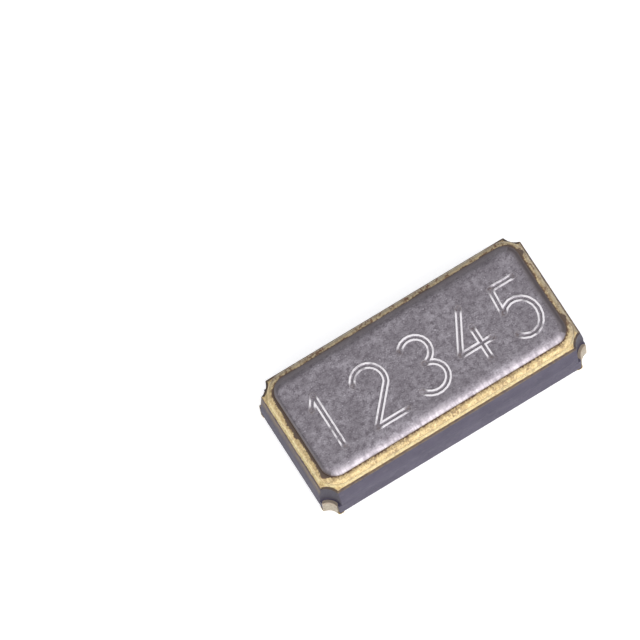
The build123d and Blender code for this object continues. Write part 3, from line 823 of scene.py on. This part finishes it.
def pad_gold():
    """Matt gold plate in coarse light and dark grains, with dark pits and a few short scratches. The
    lining mark turns it into dull tan inside a notch, pinker on the flange at the top."""
    material, shader, place = finish_of("pad_gold", Metallic=0.9)
    grain, lining = grained(place, 0.030 * MM), reading(place, "lining")
    pits = between(noise(place, 0.045 * MM, 3), 0.30, 0.38, 0.8, 0.0)
    scratch = scratched(place, Turn=(0, 0, 0.9), Stretch=(1.0, 0.12, 1.0), Fineness=1 / (0.012 * MM),
                        Line=0.76, Strength=0.8, Spread=1 / (0.25 * MM), Bare=0.52, Scored=0.60)
    tone = blended(grain["Tone"], PAD_DARK, PAD_BRIGHT)
    tone = blended(pits, tone, PAD_PIT)
    tone = blended(scratch, tone, PAD_SCRATCH)
    dull = blended(grain["Tone"], LINING_DARK, LINING_LIGHT)
    dull = blended(between(lining, 0.94, 0.995), dull, FLANGE_TAN)
    tone = blended(between(lining, 0.2, 0.4), tone, dull)
    feed(shader, grain["Height"], 0.003 * MM, Base_Color=tone,
         Roughness=between(grain["Tone"], 0.0, 1.0, 0.58, 0.42))
    return material


PAD_GOLD = pad_gold()
signal_low, signal_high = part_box("signal_pad_2")
for name, side in (("signal_pad_1", -1), ("signal_pad_2", 1)):
    outer_y = side * (half_width - pad_margin)
    start_y, end_y = sorted((outer_y, outer_y - side * signal_pad_width))
    sheet = pad_sheet((signal_low.x + pad_margin, start_y), (signal_high.x, end_y), [(-1, side)], False)
    pad = plated_piece(name + "_plate", sheet, [notch_lining(-half_length, side * half_width)])
    pad.data.materials.append(PAD_GOLD)
    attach(pad, "root")
    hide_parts(name)

ground_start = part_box("ground_pad")[0].x
ground_end, ground_side = half_length - pad_margin, half_width - pad_margin
sheet = pad_sheet((ground_start, -ground_side), (ground_end, ground_side), [(1, -1), (1, 1)], True)
linings = [notch_lining(half_length, side * half_width) for side in (-1, 1)]
ground = plated_piece("ground_pad_plate", sheet, linings)
ground.data.materials.append(PAD_GOLD)
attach(ground, "root")
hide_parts("ground_pad")

# ------------------------------
# Inner metal: the mounting pads on the shelf with their buried traces, and the films and weights on
# the fork, are gold over nickel or chromium; the ground via is a column of fired tungsten.
INNER_DARK, INNER_BRIGHT = (0.72, 0.52, 0.20, 1), (0.92, 0.72, 0.34, 1)
TUNGSTEN_DARK, TUNGSTEN_LIGHT = (0.10, 0.10, 0.11, 1), (0.24, 0.24, 0.26, 1)


def inner_gold():
    """Clean bright gold, as it stays in the sealed cavity, with the paste's grain faintly showing."""
    material, shader, place = finish_of("inner_gold", Metallic=1.0)
    grain = grained(place, 0.012 * MM)
    feed(shader, grain["Height"], 0.0005 * MM,
         Base_Color=blended(grain["Tone"], INNER_DARK, INNER_BRIGHT),
         Roughness=between(grain["Tone"], 0.0, 1.0, 0.34, 0.22))
    return material


def fired_tungsten():
    """Sintered tungsten: dark grey, matt and porous."""
    material, shader, place = finish_of("fired_tungsten", Metallic=0.8)
    grain = grained(place, 0.008 * MM)
    feed(shader, grain["Height"], 0.0010 * MM,
         Base_Color=blended(grain["Tone"], TUNGSTEN_DARK, TUNGSTEN_LIGHT),
         Roughness=between(grain["Speck"], 0.0, 1.0, 0.7, 0.45))
    return material


def painted(material, slot, *nodes):
    """Gives CAD nodes that stay as they are their finish. The slot is not used."""
    for name in nodes:
        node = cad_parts[name]
        node.data.materials.clear()
        node.data.materials.append(material)


painted(inner_gold(), "inner_gold", "inner_lead_1", "inner_lead_2", "electrode_1", "electrode_2",
        "tip_weight_1", "tip_weight_2")
painted(fired_tungsten(), "via_metal", "ground_via")

# ------------------------------
# Tuning fork: one piece of quartz, etched to shape with grooves along its arms, so its faces are
# polished and its etched sides are frosted. Glue: two dots of silver-filled epoxy under its base.
QUARTZ_COOL, QUARTZ_CLEAR = (0.90, 0.94, 0.97, 1), (0.98, 0.99, 1.0, 1)
GLUE_DARK, GLUE_FLAKE = (0.30, 0.30, 0.30, 1), (0.66, 0.66, 0.64, 1)


def etched_quartz():
    """Clear quartz with a faint frosting from the etch, clouded a little more in patches."""
    material, shader, place = finish_of("etched_quartz", IOR=1.544, Transmission_Weight=1.0)
    frost = noise(place, 0.05 * MM, 3)
    feed(shader, frost, 0.0003 * MM,
         Base_Color=blended(between(frost, 0.3, 0.7), QUARTZ_COOL, QUARTZ_CLEAR),
         Roughness=between(frost, 0.35, 0.7, 0.03, 0.22))
    return material


def silver_glue():
    """Silver-filled epoxy: pale grey flakes in a dull binder."""
    material, shader, place = finish_of("silver_glue")
    grain = grained(place, 0.010 * MM)
    feed(shader, grain["Height"], 0.0015 * MM,
         Base_Color=blended(grain["Tone"], GLUE_DARK, GLUE_FLAKE),
         Metallic=between(grain["Speck"], 0.0, 1.0, 0.25, 0.9),
         Roughness=between(grain["Tone"], 0.0, 1.0, 0.75, 0.45))
    return material


painted(etched_quartz(), "quartz", "tuning_fork")
painted(silver_glue(), "silver_glue", "glue_dot_1", "glue_dot_2")

# ------------------------------
# Studio: a pale table, a pale room that is brighter high up on the near side, and one soft light
# there, which catches the lid's near slope and the gold below it.
table_mesh = bpy.data.meshes.new("table_top")
table_mesh.from_pydata([(-1, -1, 0), (1, -1, 0), (1, 1, 0), (-1, 1, 0)], [], [(0, 1, 2, 3)])
table = placed("table_top", table_mesh)
paper = finish_of("pale_paper", Base_Color=(0.92, 0.92, 0.92, 1), Roughness=0.9, Specular_IOR_Level=0.1,
                  Emission_Color=(1, 1, 1, 1), Emission_Strength=0.55)[0]
table_mesh.materials.append(paper)

room_glow, bright_glow = 0.27, 1.42
bright_way = Vector((0.10, -0.62, 0.77)).normalized()
room = bpy.data.worlds.new("pale_room")
room.use_nodes = True
room_tree, room_shader = room.node_tree, room.node_tree.nodes["Background"]
room_way = add(room_tree, "TexCoord").outputs["Generated"]
facing = add(room_tree, "VectorMath", {0: room_way, 1: bright_way}, operation="DOT_PRODUCT")
toward = worked("MAXIMUM", facing.outputs["Value"], 0.0)
toward = worked("POWER", toward, 2.0)
glow = worked("ADD", times(toward, bright_glow), room_glow)
room_tree.links.new(glow, room_shader.inputs["Strength"])
room_shader.inputs["Color"].default_value = (0.98, 0.985, 1.0, 1)
bpy.context.scene.world = room

window_way, window_distance = Vector((0.10, -0.66, 0.74)).normalized(), 0.35
window_light = bpy.data.lights.new("near_window", "AREA")
window_light.shape, window_light.size, window_light.size_y = "RECTANGLE", 0.20, 0.11
window_light.energy = 0.13
window = placed("near_window", window_light)
window.location = window_way * window_distance
window.rotation_euler = window_way.to_track_quat("Z", "Y").to_euler()

# ------------------------------
# Camera: a long lens high over the near side, turned so that the package runs up to the right.
azimuth, elevation, roll = math.radians(20.29), math.radians(71.84), math.radians(11.65)
lens, sensor = 400.0, 36.0
view_width = 6.620 * MM                     # what the view takes in at the package
aside, below = 1.072 * MM, 0.650 * MM       # how far the package's origin lies from the view's middle
turn = Matrix.Rotation(roll, 3, "Z") @ Matrix.Rotation(elevation - math.pi / 2, 3, "X")
turn = turn @ Matrix.Rotation(azimuth, 3, "Z")
right, up, back = turn
camera_data = bpy.data.cameras.new("camera")
camera_data.lens, camera_data.sensor_width = lens, sensor
distance = view_width * lens / sensor
camera_data.clip_start, camera_data.clip_end = distance * 0.1, 5.0
camera = placed("camera", camera_data)
place = distance * back - aside * right + below * up
camera.matrix_world = Matrix.Translation(place) @ turn.transposed().to_4x4()
bpy.context.scene.camera = camera
bpy.context.scene.view_settings.view_transform = "Standard"
